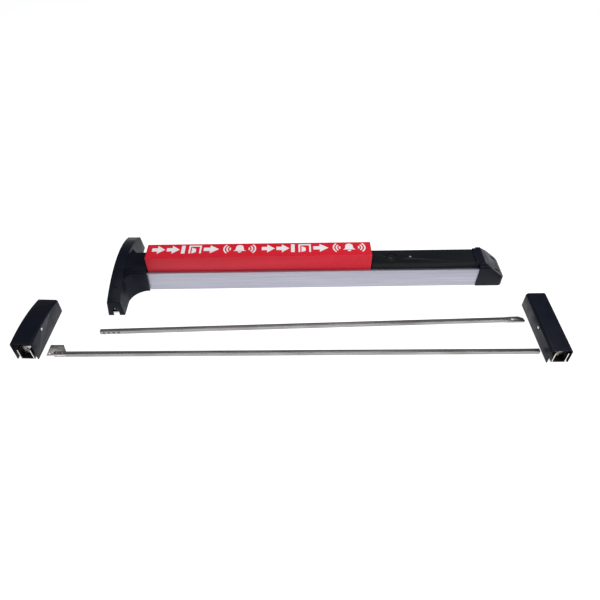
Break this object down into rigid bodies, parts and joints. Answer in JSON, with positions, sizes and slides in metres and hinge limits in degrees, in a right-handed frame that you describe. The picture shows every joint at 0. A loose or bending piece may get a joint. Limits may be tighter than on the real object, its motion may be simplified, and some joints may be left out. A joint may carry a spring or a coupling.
{
  "type": "panic exit bar",
  "caption": "Push-pad panic exit bar with arched black head, red pad, alarm cover and sloped end cap on an aluminium rail, laid out with loose square rods and black latch cases.",
  "frame": {"origin": "centre of the head's four mounting holes, on the door face", "axes": "+X along the bar from the head to the end cap, +Y up the door, +Z away from the door towards the person who pushes"},
  "size_m": [1.0751, 0.3663, 0.085],
  "materials": {
    "black_moulding": "fine-grained satin black",
    "aluminium": "satin clear anodised extrusion",
    "red_paint": "satin red paint",
    "red_sign": "red printed film with white symbols",
    "steel": "drawn steel",
    "plated_steel": "zinc plate",
    "black_steel": "black oxide",
    "bright_screw": "bright zinc",
    "rubber": "moulded rubber",
    "lamp_lens": "clear diffusing lens",
    "board_green": "solder mask",
    "battery_case": "printed steel can",
    "sounder_case": "moulded"
  },
  "bodies": {
    "bar": {"rail_channel": "aluminium", "rail_screws": "steel", "splice_plate": "steel", "return_springs": "steel", "spring_posts": "black_moulding", "pad_stops": "rubber", "micro_switches": "black_moulding", "crank_brackets": "steel", "crank_pivot_pins": "steel", "head_cover": "black_moulding", "head_cover_screws": "black_steel", "head_chassis": "steel", "rocker_post": "steel", "lifter_guides": "black_moulding", "alarm_cover": "black_moulding", "cylinder_housing": "black_steel", "cylinder_nut": "steel", "status_lamp": "lamp_lens", "alarm_tray": "black_moulding", "circuit_board": "board_green", "battery_holder": "black_moulding", "battery": "battery_case", "sounder": "sounder_case", "end_cap": "black_moulding", "end_cap_screws": "black_steel", "end_bracket": "steel"},
    "pad": {"push_pad": "red_paint", "sign_label": "red_sign", "pad_end_inserts": "red_paint", "pad_brackets": "steel", "pad_rivets": "steel", "spring_cups": "black_moulding"},
    "left_crank": {"left_crank": "steel", "left_crank_pins": "steel"},
    "right_crank": {"right_crank": "steel", "right_crank_pins": "steel"},
    "drive_bar": {"drive_bar": "steel"},
    "rocker": {"head_rocker": "steel", "head_rocker_pins": "steel"},
    "upper_lifter": {"upper_lifter": "steel"},
    "lower_lifter": {"lower_lifter": "steel"},
    "key": {"key_plug": "black_steel", "lock_cam": "steel"},
    "top_rod": {"top_rod": "steel", "top_rod_flag": "plated_steel", "top_rod_rivets": "steel"},
    "bottom_rod": {"bottom_rod": "steel", "bottom_rod_tongue": "steel"},
    "top_case": {"top_latch_cover": "black_moulding", "top_latch_cover_screw": "bright_screw", "top_latch_chassis": "steel", "top_latch_spring": "steel"},
    "top_bolt": {"top_latch_carriage": "plated_steel", "top_latch_bolt": "steel"},
    "bottom_case": {"bottom_latch_cover": "black_moulding", "bottom_latch_cover_screw": "bright_screw", "bottom_latch_chassis": "steel", "bottom_latch_spring": "steel"},
    "bottom_bolt": {"bottom_latch_carriage": "plated_steel", "bottom_latch_bolt": "steel"}
  },
  "joints": [
    {"name": "pad_press", "type": "slide", "parent": "bar", "child": "pad", "axis": [0, 0, -1], "range_m": [0, 0.019], "stiffness_N_per_m": 700, "springref_m": -0.02, "deforming": ["return_springs"]},
    {"name": "left_crank_turn", "type": "hinge", "parent": "bar", "child": "left_crank", "pos_m": [0.15, 0, 0.034], "axis": [0, -1, 0], "range_deg": [0, 28.96]},
    {"name": "right_crank_turn", "type": "hinge", "parent": "bar", "child": "right_crank", "pos_m": [0.49, 0, 0.034], "axis": [0, -1, 0], "range_deg": [0, 28.96]},
    {"name": "drive_bar_slide", "type": "slide", "parent": "bar", "child": "drive_bar", "axis": [1, 0, 0], "range_m": [0, 0.012]},
    {"name": "rocker_turn", "type": "hinge", "parent": "bar", "child": "rocker", "pos_m": [0.0035, 0, 0.0135], "axis": [0, 0, 1], "range_deg": [0, 60]},
    {"name": "upper_lifter_slide", "type": "slide", "parent": "bar", "child": "upper_lifter", "axis": [0, -1, 0], "range_m": [0, 0.012]},
    {"name": "lower_lifter_slide", "type": "slide", "parent": "bar", "child": "lower_lifter", "axis": [0, 1, 0], "range_m": [0, 0.012]},
    {"name": "key_turn", "type": "hinge", "parent": "bar", "child": "key", "pos_m": [0.5888, 0, 0.0426], "axis": [0, 0, 1], "range_deg": [0, 90]},
    {"name": "top_rod_lift", "type": "slide", "parent": "bar", "child": "top_rod", "axis": [0, 0, 1], "range_m": [0, 0.12]},
    {"name": "bottom_rod_lift", "type": "slide", "parent": "bar", "child": "bottom_rod", "axis": [0, 0, 1], "range_m": [0, 0.12]},
    {"name": "top_case_lift", "type": "slide", "parent": "bar", "child": "top_case", "axis": [0, 0, 1], "range_m": [0, 0.12]},
    {"name": "bottom_case_lift", "type": "slide", "parent": "bar", "child": "bottom_case", "axis": [0, 0, 1], "range_m": [0, 0.12]},
    {"name": "top_bolt_retract", "type": "slide", "parent": "top_case", "child": "top_bolt", "axis": [-0.0523, -0.9986, 0], "range_m": [0, 0.012], "stiffness_N_per_m": 400, "springref_m": -0.01, "deforming": ["top_latch_spring"]},
    {"name": "bottom_bolt_retract", "type": "slide", "parent": "bottom_case", "child": "bottom_bolt", "axis": [0, -1, 0], "range_m": [0, 0.012], "stiffness_N_per_m": 400, "springref_m": -0.01, "deforming": ["bottom_latch_spring"]}
  ],
  "couplings": [
    {"joint": "left_crank_turn", "follows": "pad_press", "rad_per_m": 26.598},
    {"joint": "right_crank_turn", "follows": "pad_press", "rad_per_m": 26.598},
    {"joint": "drive_bar_slide", "follows": "pad_press", "ratio": 0.63158},
    {"joint": "rocker_turn", "follows": "pad_press", "rad_per_m": 55.116},
    {"joint": "upper_lifter_slide", "follows": "pad_press", "ratio": 0.63158},
    {"joint": "lower_lifter_slide", "follows": "pad_press", "ratio": 0.63158}
  ]
}
